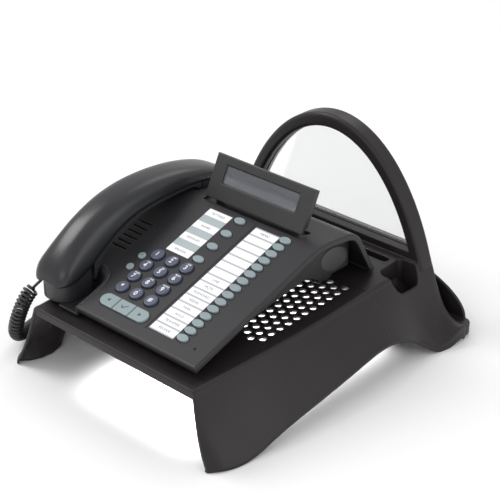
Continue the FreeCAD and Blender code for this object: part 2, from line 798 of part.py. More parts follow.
def oval_key(label, across, up):
    """A lens-shaped cap with its skirt."""
    solids = []
    for part_name, lap_long, lap_short, rise in (
            ("cap", "", "", "Dims.key_skirt_depth + Dims.line_height"),
            ("skirt", " + Dims.key_skirt_lap", " + Dims.key_skirt_lap / 2", "Dims.key_skirt_height")):
        ring = doc.addObject("Part::Ellipse", label + "_" + part_name + "_line")
        ring.setExpression("MajorRadius", "Dims.line_half_long" + lap_long)
        ring.setExpression("MinorRadius", "Dims.line_half_short" + lap_short)
        ring.setExpression(".Placement.Base.z", "-Dims.key_skirt_depth")
        solid = doc.addObject("Part::Extrusion", label + "_" + part_name)
        solid.Base = ring
        solid.DirMode = "Custom"
        solid.Dir = Vector(0, 0, 1)
        solid.Solid = True
        solid.setExpression("LengthFwd", rise)
        solids.append(solid)
    whole = doc.addObject("Part::MultiFuse", label + "_whole")
    whole.Shapes = solids
    placed_key(softened(whole, label, dim("line_height"), 0.7), label, across, up)


def menu_keys():
    """Three keys cut from one long rounded bar."""
    half_long, half_short = dim("menu_half_long"), dim("menu_half_short")
    split = dim("menu_split")
    third = 2 * half_long / 3
    depth = dim("key_skirt_depth")
    for number, name in enumerate(("left", "ok", "right")):
        low = -half_long + number * third + (split / 2 if number else 0)
        high = -half_long + (number + 1) * third - (split / 2 if number < 2 else 0)
        cap = stadium(0, 0, half_long, half_short, -depth, dim("menu_height"))
        cap = cap.common(box(low, -20, -20, high, 20, 20))
        top_edges = [e for e in cap.Edges if e.BoundBox.ZMin > dim("menu_height") - 0.01]
        cap = cap.makeFillet(0.7, top_edges)
        skirt = box(low + 2, -half_short - 0.9, -depth, high - 2, half_short + 0.9,
                    -depth + dim("key_skirt_height"))
        obj = doc.addObject("Part::Feature", "menu_key_" + name)
        obj.Shape = fuse(cap, skirt)
        placed_key(obj, "menu_key_" + name, *MENU_CENTRE)


def make_keys():
    for line, names in enumerate(DIAL_NAMES):
        for column, name in enumerate(names):
            round_key("dial_key_" + name, "dial_radius", "dial_height",
                      DIAL_FIRST[0] + column * DIAL_PITCH[0], DIAL_FIRST[1] - line * DIAL_PITCH[1])
    for name, across, up in VOLUME_SPOTS:
        round_key("volume_key_" + name, "volume_radius", "line_height", across, up)
    menu_keys()
    for step in range(FUNCTION_KEYS):
        oval_key(f"function_key_{step + 1}", FUNCTION_FIRST[0],
                 FUNCTION_FIRST[1] + step * FUNCTION_PITCH)
    for step in range(LINE_KEYS):
        oval_key(f"line_key_{step + 1:02d}", 0.0, step * LINE_PITCH)


def make_labels():
    plates = label_plates(-LABEL_DEPTH, -0.05)
    return publish_shape(Part.makeCompound(plates), "label_strips")


def make_board():
    """The board under the keys, with room for the screw posts."""
    top = -dim("key_skirt_depth") - dim("key_travel_room")
    board = on_panel(box(-119, -9, top - dim("board_thickness"), 14, 150, top))
    for x, y in POSTS:
        board = board.cut(rod(Vector(x, y, 60), Vector(x, y, 150), 4.5))
    board = board.cut(box(-200, 0, 60, dim("well_right") + 4, 300, 200))
    return publish_shape(board, "circuit_board")


def make_loudspeaker():
    """A cone speaker under the slots."""
    across, up = -144.0, SLOT_FIRST + 2.5 * SLOT_PITCH
    rim = rod(Vector(across, up, -5.5), Vector(across, up, -2.6), 21)
    cone = Part.makeCone(9, 19, 6, Vector(across, up, -11.5))
    magnet = rod(Vector(across, up, -18), Vector(across, up, -11.5), 12)
    return publish_shape(on_panel(fuse(rim, cone, magnet)), "loudspeaker")


def make_hook_switch():
    """The plunger that the handset's ear end holds down."""
    centre = dim("handset_centre")
    top = dim("ear_rest_floor") + 0.1
    stem = rod(Vector(centre, 206, 106), Vector(centre, 206, top), 4.0)
    collar = rod(Vector(centre, 206, 108), Vector(centre, 206, 110), 6.0)
    return publish_shape(fuse(stem, collar), "hook_switch")


# ---------------------------------------------------------------- display

def on_display(shape):
    """Move a shape from the display's axes, with the hinge at their origin, to the part's."""
    place = Placement(Vector(0, dim("hinge_back"), dim("hinge_height")),
                      Rotation(Vector(1, 0, 0), -dim("display_lean_deg")))
    return shape.transformed(place.toMatrix(), True)


DISPLAY_FRONT = -8.0
DISPLAY_SPLIT = -3.9
DISPLAY_BACK = 1.0


def lcd_box(y_low, y_high, grow):
    middle = (dim("display_left") + dim("display_right")) / 2
    half = dim("lcd_half_long") + grow
    return box(middle - half, y_low, dim("lcd_low") - grow, middle + half, y_high,
               dim("lcd_high") + grow)


def make_display():
    left, right = dim("display_left"), dim("display_right")
    rise, drop = dim("display_rise"), dim("display_drop")
    radius = dim("pin_radius")
    frame = box(left, DISPLAY_FRONT, -drop, right, DISPLAY_SPLIT, rise - drop)
    front_edges = [e for e in frame.Edges if e.BoundBox.YMax < DISPLAY_FRONT + 0.01]
    frame = frame.makeFillet(1.2, front_edges)
    bevel = side_free_bevel()
    frame = frame.cut(bevel)
    frame = frame.cut(lcd_box(DISPLAY_FRONT + 1, DISPLAY_SPLIT + 1, 2.0))
    publish_shape(on_display(frame), "display_frame")
    publish_shape(on_display(lcd_box(DISPLAY_FRONT + 1, DISPLAY_FRONT + 2, 2.0)), "display_lens")
    publish_shape(on_display(lcd_box(DISPLAY_FRONT + 2, DISPLAY_SPLIT, 1.5)), "lcd_panel")
    cover = box(left + 0.4, DISPLAY_SPLIT, 3.5, right - 0.4, DISPLAY_BACK, rise - drop - 0.4)
    back_edges = [e for e in cover.Edges if e.BoundBox.YMin > DISPLAY_BACK - 0.01]
    cover = cover.makeFillet(2.0, back_edges)
    barrel = rod(Vector(-40.5, 0, 0), Vector(52.5, 0, 0), 3.0)
    web = box(-40.5, DISPLAY_SPLIT, -1.5, 52.5, -1.0, 6)
    cover = fuse(cover, barrel, web)
    pin = rod(Vector(-47, 0, 0), Vector(59, 0, 0), radius)
    publish_shape(on_display(cover.cut(pin)), "display_back")
    publish_shape(on_display(pin), "display_hinge_pin")


def side_free_bevel():
    """The window's opening, widening a little towards the front."""
    middle = (dim("display_left") + dim("display_right")) / 2
    half = dim("lcd_half_long")
    wires = []
    for y, grow in ((DISPLAY_FRONT - 0.01, 1.2), (DISPLAY_FRONT + 1.01, 0.0)):
        low, high = dim("lcd_low") - grow, dim("lcd_high") + grow
        xs = (middle - half - grow, middle + half + grow)
        corners = [Vector(xs[0], y, low), Vector(xs[1], y, low), Vector(xs[1], y, high),
                   Vector(xs[0], y, high)]
        wires.append(Part.makePolygon(corners + corners[:1]))
    return Part.makeLoft(wires, True, True)


# ---------------------------------------------------------------- handset

HANDSET_TOP = ((9.5, 97.0), (13.0, 107.0), (21.0, 117.5), (38.0, 132.0), (60.0, 145.5),
               (91.0, 157.0), (123.0, 162.0), (155.0, 162.0), (188.0, 158.0), (222.0, 149.0),
               (244.0, 138.0), (252.0, 128.0))
HANDSET_SEAM = ((9.5, 95.0), (26.0, 97.0), (44.0, 104.0), (60.0, 115.0), (84.0, 130.0),
                (112.0, 140.0), (150.0, 144.0), (187.0, 143.5), (214.0, 140.0), (238.0, 133.0),
                (252.0, 126.0))
HANDSET_BELLY = ((52.0, 90.0), (58.0, 102.0), (68.0, 115.0), (84.0, 126.0), (112.0, 136.0),
                 (150.0, 140.5), (176.0, 141.0), (189.0, 139.5), (197.0, 129.0))
MOUTH_BLOCK = (10.0, 56.0, 76.0)
MOUTH_SET_IN = 3.0
EAR_BLOCK = (196.0, 250.0, 119.0)


def handset_outline(inset, z_low, z_high):
    centre, half = dim("handset_centre"), dim("handset_half")
    radii = (13 - inset, 13 - inset, 17 - inset, 17 - inset)
    return rounded_plate(centre - half + inset, MOUTH_BLOCK[0] + inset, centre + half - inset,
                         EAR_BLOCK[1] - inset, radii, z_low, z_high)


def lowered(points, drop):
    return [(y, z - drop) for y, z in points]


def make_handset_upper():
    centre, half = dim("handset_centre"), dim("handset_half")
    wall = dim("handset_wall")
    solid = curved_prism(HANDSET_TOP, HANDSET_SEAM, centre - half, centre + half)
    solid = solid.common(handset_outline(0, 60, 200))
    room = curved_prism(lowered(HANDSET_TOP, wall), lowered(HANDSET_SEAM, wall),
                        centre - half, centre + half)
    room = room.common(handset_outline(wall, 60, 200))
    return publish_shape(solid.cut(room), "handset_upper_shell")


def handset_lower_solid(inset):
    """Everything of the handset below its seam."""
    centre, half = dim("handset_centre"), dim("handset_half")
    seam_floor = [(y, 60.0) for y, _ in HANDSET_SEAM]
    below_seam = curved_prism(HANDSET_SEAM, seam_floor, centre - half, centre + half)
    outline = handset_outline(inset, 60, 200)
    belly_low = [(y, z + inset) for y, z in HANDSET_BELLY]
    belly_top = [(y, 190.0) for y, _ in HANDSET_BELLY]
    grip = curved_prism(belly_top, belly_low, centre - half, centre + half)
    set_in = MOUTH_SET_IN + inset
    mouth = rounded_plate(centre - half + set_in, MOUTH_BLOCK[0] + set_in, centre + half - set_in,
                          MOUTH_BLOCK[1] - inset, (17, 17, 9, 9), MOUTH_BLOCK[2] + inset, 190)
    ear = rounded_plate(centre - half, EAR_BLOCK[0] + inset, centre + half, EAR_BLOCK[1],
                        (8, 8, 1, 1), EAR_BLOCK[2] + inset, 190)
    return fuse(grip, mouth, ear).common(outline).common(below_seam)


def sound_holes(centre_y, low, count, ring):
    """A ring of small holes round a middle one."""
    centre = dim("handset_centre")
    spots = [(centre, centre_y)]
    for step in range(count):
        angle = 2 * math.pi * step / count
        spots.append((centre + ring * math.cos(angle), centre_y + ring * math.sin(angle)))
    return [rod(Vector(x, y, low - 2), Vector(x, y, low + 4), 1.1) for x, y in spots]


def make_handset_lower():
    wall = dim("handset_wall")
    solid = handset_lower_solid(0).cut(handset_lower_solid(wall))
    cutters = sound_holes(32, MOUTH_BLOCK[2], 4, 5) + sound_holes(224, EAR_BLOCK[2], 8, 9)
    jack_x, jack_y, jack_z = HANDSET_PLUG
    cutters.append(box(jack_x - 3, jack_y - 4, jack_z - 3.5, jack_x + 6, jack_y + 4, jack_z + 3.5))
    return publish_shape(solid.cut(Part.makeCompound(cutters)), "handset_lower_shell")


def make_capsules():
    """The microphone and the earpiece receiver."""
    centre = dim("handset_centre")
    wall = dim("handset_wall")
    mouth = rod(Vector(centre, 32, MOUTH_BLOCK[2] + wall),
                Vector(centre, 32, MOUTH_BLOCK[2] + wall + 6), 8)
    ear = rod(Vector(centre, 224, EAR_BLOCK[2] + wall),
              Vector(centre, 224, EAR_BLOCK[2] + wall + 7), 15)
    return publish_shape(Part.makeCompound([mouth, ear]), "handset_capsules")


# ---------------------------------------------------------------- cord

HANDSET_PLUG = (-118.0, 27.0, 84.0)
BASE_PLUG = (-108.0, 112.0, 86.0)

# The cord's route from the handset's plug to the telephone's: a straight lead out of the
# handset, a coil down in front of the left leg, back outside the skirt and up over the
# tray's left edge, and a straight lead into the base.
HANDSET_LEAD = ((-125.6, 26.4, 82.6), (-129.6, 22.4, 77.6), (-134.0, 12.0, 66.0))
COIL_ROUTE = ((-134.0, 12.0, 66.0), (-137.5, 4.0, 48.0), (-143.5, 2.5, 29.0),
              (-151.5, 10.5, 15.5), (-158.5, 26.5, 9.7), (-163.0, 45.5, 9.7),
              (-165.0, 64.5, 14.5), (-165.5, 81.5, 24.5), (-163.5, 95.5, 38.5),
              (-158.5, 105.5, 54.5), (-149.5, 111.5, 70.5), (-136.5, 113.0, 83.0))
BASE_LEAD = ((-136.5, 113.0, 83.0), (-129.0, 112.7, 85.6), (-119.5, 112.0, 86.0))


def arc_radii(points):
    """Each inner corner's radius, as large as its two runs allow."""
    radii = []
    for before, corner, after in zip(points, points[1:], points[2:]):
        runs = (corner - before, after - corner)
        half_turn = runs[0].getAngle(runs[1]) / 2
        radii.append(0.45 * min(run.Length for run in runs) / math.tan(half_turn))
    return radii


def tube(name, route, radius):
    """A round tube along straight runs and tangent arcs."""
    points = [Vector(*point) for point in route]
    radii = arc_radii(points)
    path = Part.Wire(rounded_path(points, radii))
    along = (points[1] - points[0]).normalize()
    ring = Part.Wire(Part.Circle(points[0], along, radius).toShape())
    solid = path.makePipeShell([ring], True, False, 2)
    expected = math.pi * radius ** 2 * path.Length
    print(name, "length", round(path.Length, 1), "volume ratio", round(solid.Volume / expected, 4),
          "arc radii", [round(value, 1) for value in radii])
    return solid


def make_cord():
    """The curly cord: its coil as one tube of the coil's outer size, and its two leads."""
    coil = tube("coil", COIL_ROUTE, dim("coil_radius"))
    leads = [tube("handset lead", HANDSET_LEAD, dim("cord_radius")),
             tube("base lead", BASE_LEAD, dim("cord_radius"))]
    return publish_shape(fuse(coil, *leads), "handset_cord")


def plug(spot, reach, tail):
    """A modular plug with its short boot, pushed into a side wall and pointing to -X."""
    x, y, z = spot
    body = box(x - 2, y - 3.3, z - 2.9, x + reach, y + 3.3, z + 2.9)
    boot = Part.makeCone(2.2, 3.0, -2 - tail, Vector(x + tail, y, z), Vector(1, 0, 0))
    return fuse(body, boot)


def make_plugs():
    publish_shape(plug(HANDSET_PLUG, 9, -6), "handset_plug")
    publish_shape(plug(BASE_PLUG, 9, -11.4), "base_plug")


# ---------------------------------------------------------------- fasteners and feet

def make_screws():
    """Pan-head screws of the stand, then the ones under the telephone."""
    back = dim("arch_front") + dim("arch_depth")
    wall = dim("stand_wall")
    screws = []
    for x in SCREW_SPOTS:
        seat = Vector(x, back - wall, STAND_SCREW_HEIGHT)
        head = rod(seat - Vector(0, 2.2, 0), seat, 3.6)
        shank = rod(seat, Vector(x, back + wall - 0.2, STAND_SCREW_HEIGHT), 1.7)
        screws.append(fuse(head, shank))
    for x, y in POSTS:
        seat = Vector(x, y, base_floor(y) - 1.2)
        head = rod(seat - Vector(0, 0, 1.2), seat, 2.9)
        shank = rod(seat, seat + Vector(0, 0, 9.5), 1.4)
        screws.append(fuse(head, shank))
    return publish_shape(Part.makeCompound(screws), "screws")


PHONE_PADS = ((-100.0, 92.0), (36.0, 92.0), (-100.0, 228.0), (36.0, 228.0), (-104.0, 24.0))


def make_feet():
    """Rubber feet: round ones under the stand, round and long ones under the telephone."""
    radius = dim("foot_pad_radius")
    pads = []
    for x, y in FRONT_FEET + REAR_FEET:
        for side in (-1, 1):
            pads.append(rod(Vector(side * x, y, 0), Vector(side * x, y, dim("foot_pad_height")),
                            radius))
    clear = foot_plane_solid(-130, 130)
    for x, y in PHONE_PADS:
        pads.append(phone_pad(rod(Vector(x, y, 60), Vector(x, y, 90), 5.0), clear))
    for x in (-95.0, 75.0):
        pads.append(phone_pad(box(x - 12, 261, 60, x + 12, 264.5, 90), clear))
    return publish_shape(Part.makeCompound(pads), "rubber_feet")


def phone_pad(column, clear):
    """The slice of a column between the tray and the telephone's underside."""
    lift = Vector(0, 0, -dim("phone_foot_height"))
    tray_solid = clear.translated(lift)
    return column.common(clear).cut(tray_solid)


# ---------------------------------------------------------------- build

channel_shape = stand_channel()
inside_shape = channel_inside()
make_platform(channel_shape, inside_shape)
make_rack_front(channel_shape, inside_shape)
make_rack_back()
make_window()
make_top_housing()
make_bottom_housing()
make_module_cover()
make_keys()
make_labels()
make_board()
make_loudspeaker()
make_hook_switch()
make_display()
make_handset_upper()
make_handset_lower()
make_capsules()
make_cord()
make_plugs()
make_screws()
make_feet()
doc.recompute()

faults = []
for obj in doc.Objects:
    if "Invalid" in obj.State or "Error" in obj.State:
        faults.append(obj.Name + " " + str(obj.State))
for obj in sub_parts:
    if obj.Shape.isNull() or not obj.Shape.isValid():
        faults.append(obj.Label + " has no valid shape")
if faults:
    raise RuntimeError("; ".join(faults))

for obj in sub_parts:
    obj.Shape.exportStep("parts/" + obj.Label + ".step")
print(len(sub_parts), "sub-parts written")
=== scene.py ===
import math

import bmesh
import bpy
from mathutils import Matrix, Vector


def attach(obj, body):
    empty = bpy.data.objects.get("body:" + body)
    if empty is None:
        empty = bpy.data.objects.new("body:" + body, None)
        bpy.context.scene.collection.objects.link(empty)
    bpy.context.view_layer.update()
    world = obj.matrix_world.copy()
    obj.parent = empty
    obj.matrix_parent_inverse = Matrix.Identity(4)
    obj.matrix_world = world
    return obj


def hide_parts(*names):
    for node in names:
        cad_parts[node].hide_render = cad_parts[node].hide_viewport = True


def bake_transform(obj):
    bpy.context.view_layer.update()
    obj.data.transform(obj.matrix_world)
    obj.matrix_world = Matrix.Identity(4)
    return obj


# A desk telephone on an organiser stand, in the CAD model's frame: +X to the right of the
# keypad, +Y to the rear, +Z up. FRONT is the y of the tray's front edge. Values are metres,
# except where a comment says millimetres.

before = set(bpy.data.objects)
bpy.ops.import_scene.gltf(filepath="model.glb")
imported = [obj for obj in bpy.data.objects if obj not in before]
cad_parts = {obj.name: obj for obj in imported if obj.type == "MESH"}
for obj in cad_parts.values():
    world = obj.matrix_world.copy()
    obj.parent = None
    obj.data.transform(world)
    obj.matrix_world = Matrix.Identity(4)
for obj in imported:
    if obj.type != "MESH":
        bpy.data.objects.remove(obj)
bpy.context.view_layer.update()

FRONT = -0.167
MM = 0.001


def place(x, y, z):
    """A point given in millimetres from the middle of the tray's front edge, on the desk."""
    return Vector((x * MM, FRONT + y * MM, z * MM))


# ---------------------------------------------------------------- camera, floor, light

FLOOR_SIDE = 12.0
FLOOR_HEIGHT = -0.0002
SKY_STRENGTH = 0.8
# The light under the tray shines down in this cone only.
TRAY_LIGHT_SPREAD = math.radians(80)

CAMERA_SPOT = (0.8414, -0.8914, 0.7666)
CAMERA_TILT = math.radians(61.62)
CAMERA_TURN = math.radians(42.72)
# The lens's focal length and the width of the sensor behind it, in millimetres.
LENS = 103.3
SENSOR = 36.0


def make_camera():
    """The view from in front, to the right and above."""
    data = bpy.data.cameras.new("camera")
    data.sensor_width = SENSOR
    data.lens = LENS
    data.clip_end = 20.0
    camera = bpy.data.objects.new("camera", data)
    camera.location = CAMERA_SPOT
    camera.rotation_euler = (CAMERA_TILT, 0.0, CAMERA_TURN)
    bpy.context.scene.collection.objects.link(camera)
    bpy.context.scene.camera = camera


def area_light(name, spot, target, width, height, power):
    """A lit rectangle at spot, facing target. Its power is in watts."""
    data = bpy.data.lights.new(name, "AREA")
    data.shape = "RECTANGLE"
    data.size = width
    data.size_y = height
    data.energy = power
    light = bpy.data.objects.new(name, data)
    light.location = spot
    light.rotation_euler = (Vector(target) - Vector(spot)).to_track_quat("-Z", "Y").to_euler()
    bpy.context.scene.collection.objects.link(light)
    return light


def make_stage():
    """A white studio: an even sky, a white floor and five lit rectangles."""
    world = bpy.data.worlds.new("studio")
    world.use_nodes = True
    background = world.node_tree.nodes["Background"]
    background.inputs["Color"].default_value = (1.0, 1.0, 1.0, 1.0)
    background.inputs["Strength"].default_value = SKY_STRENGTH
    bpy.context.scene.world = world
    bpy.context.scene.view_settings.view_transform = "Standard"

    bpy.ops.mesh.primitive_plane_add(size=FLOOR_SIDE, location=(0, 0, FLOOR_HEIGHT))
    floor = bpy.context.object
    floor.name = "floor"
    floor.data.materials.append(floor_material())

    area_light("key_light", (-1.3, -0.5, 1.6), (0, 0, 0.08), 0.9, 0.9, 17.0)
    area_light("front_light", (0.4, -1.9, 1.1), (0, 0, 0.05), 1.4, 0.8, 5.0)
    area_light("right_light", (1.8, 0.2, 0.9), (0, 0, 0.05), 1.0, 1.2, 5.5)
    area_light("window_light", (-0.5, 1.2, 1.5), (0, 0.1, 0.1), 0.5, 1.0, 3.0)
    tray_light = area_light("tray_light", (0.03, -0.01, 0.058), (0.03, -0.01, 0), 0.15, 0.28, 0.8)
    tray_light.data.spread = TRAY_LIGHT_SPREAD


# ---------------------------------------------------------------- materials

# Most of a noise's values lie between these two.
NOISE_LOW = 0.3
NOISE_HIGH = 0.7
GRAIN_DEPTH = 0.0002
COAT_ROUGHNESS = 0.25
ACRYLIC_INDEX = 1.49
# The darker fibres of printed card have this share of its colour.
FIBRE_SHADE = 0.94


def new_material(name):
    """A material, with its nodes, their links and its main shader."""
    material = bpy.data.materials.new(name)
    material.use_nodes = True
    nodes = material.node_tree.nodes
    return material, nodes, material.node_tree.links, nodes["Principled BSDF"]


def noise(nodes, links, scale, detail=3.0):
    """A noise texture in the object's own metres."""
    where = nodes.new("ShaderNodeTexCoord")
    texture = nodes.new("ShaderNodeTexNoise")
    texture.inputs["Scale"].default_value = scale
    texture.inputs["Detail"].default_value = detail
    links.new(where.outputs["Object"], texture.inputs["Vector"])
    return texture.outputs["Fac"]


def spread(nodes, links, value, low, high):
    """The middle of a noise's values, stretched to run from low to high."""
    ramp = nodes.new("ShaderNodeMapRange")
    ramp.inputs["From Min"].default_value = NOISE_LOW
    ramp.inputs["From Max"].default_value = NOISE_HIGH
    ramp.inputs["To Min"].default_value = low
    ramp.inputs["To Max"].default_value = high
    links.new(value, ramp.inputs["Value"])
    return ramp.outputs["Result"]


def grained(name, colour, rough, grain=900.0, bump=0.12, tone=0.10, coat=0.0, shine=0.5,
            edge=0.0007):
    """Moulded plastic: soft edges, a fine even grain, faint handling marks, uneven gloss."""
    material, nodes, links, shader = new_material(name)
    marks = noise(nodes, links, 18.0, 4.0)
    fine = noise(nodes, links, grain, 2.0)
    darker = [channel * (1 - tone) for channel in colour]
    lighter = [channel * (1 + tone) for channel in colour]
    mix = nodes.new("ShaderNodeMix")
    mix.data_type = "RGBA"
    mix.inputs["A"].default_value = (*darker, 1.0)
    mix.inputs["B"].default_value = (*lighter, 1.0)
    links.new(spread(nodes, links, marks, 0.0, 1.0), mix.inputs["Factor"])
    links.new(mix.outputs["Result"], shader.inputs["Base Color"])
    links.new(spread(nodes, links, marks, rough - 0.05, rough + 0.05), shader.inputs["Roughness"])
    relief = nodes.new("ShaderNodeBump")
    relief.inputs["Strength"].default_value = bump
    relief.inputs["Distance"].default_value = GRAIN_DEPTH
    soft_edge = nodes.new("ShaderNodeBevel")
    soft_edge.samples = 6
    soft_edge.inputs["Radius"].default_value = edge
    links.new(soft_edge.outputs["Normal"], relief.inputs["Normal"])
    links.new(fine, relief.inputs["Height"])
    links.new(relief.outputs["Normal"], shader.inputs["Normal"])
    shader.inputs["Specular IOR Level"].default_value = shine
    shader.inputs["Coat Weight"].default_value = coat
    shader.inputs["Coat Roughness"].default_value = COAT_ROUGHNESS
    return material


def metal(name, colour, rough):
    """Bare metal, with a fine unevenness in its gloss."""
    material, nodes, links, shader = new_material(name)
    shader.inputs["Base Color"].default_value = (*colour, 1.0)
    shader.inputs["Metallic"].default_value = 1.0
    mottle = noise(nodes, links, 700.0, 4.0)
    links.new(spread(nodes, links, mottle, rough - 0.08, rough + 0.1), shader.inputs["Roughness"])
    return material


def clear(name, colour, rough, alpha):
    """Clear moulded plastic, with faint hand marks in its gloss."""
    material, nodes, links, shader = new_material(name)
    shader.inputs["Base Color"].default_value = (*colour, 1.0)
    shader.inputs["Transmission Weight"].default_value = 1.0
    shader.inputs["IOR"].default_value = ACRYLIC_INDEX
    shader.inputs["Alpha"].default_value = alpha
    smears = noise(nodes, links, 30.0, 5.0)
    links.new(spread(nodes, links, smears, rough, rough + 0.03), shader.inputs["Roughness"])
    return material


def printed(name, colour, rough=0.45):
    """Printed card or ink, with the faint mottling of its fibres."""
    material, nodes, links, shader = new_material(name)
    fibres = noise(nodes, links, 1200.0, 4.0)
    mix = nodes.new("ShaderNodeMix")
    mix.data_type = "RGBA"
    mix.inputs["A"].default_value = (*[channel * FIBRE_SHADE for channel in colour], 1.0)
    mix.inputs["B"].default_value = (*colour, 1.0)
    links.new(spread(nodes, links, fibres, 0.0, 1.0), mix.inputs["Factor"])
    links.new(mix.outputs["Result"], shader.inputs["Base Color"])
    shader.inputs["Roughness"].default_value = rough
    return material


def floor_material():
    """Matt white, a little uneven."""
    material, nodes, links, shader = new_material("floor_white")
    shader.inputs["Base Color"].default_value = (0.9, 0.9, 0.9, 1.0)
    links.new(spread(nodes, links, noise(nodes, links, 3.0), 0.75, 0.85), shader.inputs["Roughness"])
    return material


# After their colour, the plastics give roughness, the scale of the grain and its strength.
FINISHES = {
    "stand": grained("stand_black", (0.0165, 0.0135, 0.0142), 0.40, 1100.0, 0.16, shine=0.32,
                     edge=0.0024),
    "foot": grained("foot_rubber", (0.02, 0.02, 0.02), 0.8, 600.0, 0.2),
    "phone": grained("phone_charcoal", (0.0185, 0.0180, 0.0205), 0.44, 1300.0, 0.14, shine=0.40,
                     edge=0.0018),
    "phone_base": grained("phone_base_black", (0.012, 0.011, 0.012), 0.55, 1300.0, 0.14),
    "port_cover": grained("port_cover_grey", (0.045, 0.043, 0.044), 0.42, 1200.0, 0.12),
    "display": grained("display_charcoal", (0.022, 0.022, 0.0235), 0.4, 1300.0, 0.12),
    "lcd": grained("lcd_glass", (0.215, 0.225, 0.25), 0.25, 800.0, 0.02, tone=0.04, coat=0.3),
    "handset": grained("handset_charcoal", (0.018, 0.0184, 0.021), 0.30, 1400.0, 0.10, shine=0.45),
    "handset_base": grained("handset_base_charcoal", (0.023, 0.0225, 0.025), 0.38, 1400.0, 0.12),
    "dial_key": grained("dial_key_blue", (0.055, 0.065, 0.110), 0.33, 1500.0, 0.05, tone=0.06,
                        coat=0.15),
    "pale_key": grained("pale_key_green", (0.23, 0.29, 0.305), 0.36, 1500.0, 0.05, tone=0.04,
                        coat=0.1),
    "cord": grained("cord_black", (0.022, 0.021, 0.022), 0.30, 900.0, 0.05),
    "board": grained("board_green", (0.01, 0.09, 0.035), 0.35, 400.0, 0.1),
    "speaker": metal("speaker_steel", (0.3, 0.3, 0.31), 0.4),
    "screw": metal("screw_steel", (0.6, 0.6, 0.62), 0.32),
    "window": clear("window_clear", (0.92, 0.96, 0.99), 0.0, 0.2),
    "lens": clear("lens_clear", (0.9, 0.92, 0.94), 0.12, 0.35),
    "plug": clear("plug_clear", (0.8, 0.82, 0.84), 0.1, 0.8),
    "white": printed("label_white", (0.92, 0.93, 0.94)),
    "grey": printed("label_grey", (0.40, 0.45, 0.47)),
    "divider": printed("label_divider", (0.46, 0.47, 0.50)),
    "ink": printed("ink_grey", (0.10, 0.10, 0.11)),
    "legend": printed("legend_white", (0.8, 0.8, 0.84)),
    "mark": printed("mark_dark", (0.035, 0.04, 0.05)),
}

# The finish of each CAD node that isn't a key.
NODE_FINISHES = {
    "stand_platform": "stand", "rack_front": "stand", "rack_back": "stand",
    "arch_window": "window", "rubber_feet": "foot", "screws": "screw",
    "phone_top_housing": "phone", "phone_bottom_housing": "phone_base",
    "module_port_cover": "port_cover", "label_strips": "divider", "circuit_board": "board",
    "loudspeaker": "speaker", "handset_cord": "cord", "base_plug": "plug",
    "handset_plug": "plug", "display_frame": "display", "display_back": "display",
    "display_lens": "lens", "lcd_panel": "lcd", "display_hinge_pin": "screw",
    "handset_upper_shell": "handset", "handset_lower_shell": "handset_base",
    "handset_capsules": "speaker", "hook_switch": "phone",
}


def finish_nodes():
    """Gives each CAD node its finish. The dial's keys are dark and all the others pale."""
    for name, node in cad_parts.items():
        key_finish = "dial_key" if name.startswith("dial_key") else "pale_key"
        node.data.materials.clear()
        node.data.materials.append(FINISHES[NODE_FINISHES.get(name, key_finish)])


# ---------------------------------------------------------------- building pieces

def new_piece(name, mesh, finish, body):
    """A visible piece, attached to its body when one is given. The cord is given none."""
    piece = bpy.data.objects.new(name, mesh)
    bpy.context.scene.collection.objects.link(piece)
    piece.data.materials.append(FINISHES[finish])
    if body:
        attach(piece, body)
    return piece


def smooth(mesh):
    """Shades a mesh as one soft surface."""
    for polygon in mesh.polygons:
        polygon.use_smooth = True


def nurbs_line(name, points):
    """A smooth line from the first point to the last, drawn towards those between."""
    curve = bpy.data.curves.new(name, "CURVE")
    curve.dimensions = "3D"
    curve.resolution_u = 24
    spline = curve.splines.new("NURBS")
    spline.points.add(len(points) - 1)
    for control, point in zip(spline.points, points):
        control.co = (*point, 1.0)
    spline.order_u = 3
    spline.use_endpoint_u = True
    return curve


def mesh_of(curve):
    """The smooth mesh of a curve or some text."""
    holder = bpy.data.objects.new(curve.name, curve)
    bpy.context.scene.collection.objects.link(holder)
    graph = bpy.context.evaluated_depsgraph_get()
    mesh = bpy.data.meshes.new_from_object(holder.evaluated_get(graph))
    bpy.data.objects.remove(holder)
    smooth(mesh)
    return mesh


def line_points(curve):
    """The points along a curve that has no bevel."""
    return [vertex.co.copy() for vertex in mesh_of(curve).vertices]


# The key panel's axes run across it, up its slope and out of it, from a point on its face that
# is given in millimetres.
PITCH = math.radians(18.0)
PANEL_POINT = (59.7, 34.0, 89.4)
PANEL = Matrix.Translation(place(*PANEL_POINT)) @ Matrix.Rotation(PITCH, 4, "X")


def panel_height(y):
    """Height of the panel at y, in millimetres."""
    return PANEL_POINT[2] + (y - PANEL_POINT[1]) * math.tan(PITCH)


def panel_box(name):
    """A CAD node's lowest and highest corners along the panel's axes."""
    back = PANEL.inverted()
    points = [back @ vertex.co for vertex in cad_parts[name].data.vertices]
    low = Vector([min(point[axis] for point in points) for axis in range(3)])
    high = Vector([max(point[axis] for point in points) for axis in range(3)])
    return low, high


# Half the thickness of printed text, and how far the marks on the menu keys are sunk in them
# and stand out of them.
TEXT_HALF = 0.00003
MARK_SUNK = 0.00002
MARK_PROUD = 0.00004


def add_text(collected, words, height, centre, bold=0.0):
    """Some words as flat solid letters with their middle at centre, thickened by bold."""
    curve = bpy.data.curves.new("words", "FONT")
    curve.body = words
    curve.size = height
    curve.align_x = "CENTER"
    curve.align_y = "CENTER"
    curve.extrude = TEXT_HALF
    curve.offset = bold
    mesh = mesh_of(curve)
    mesh.transform(Matrix.Translation(centre))
    collected.from_mesh(mesh)


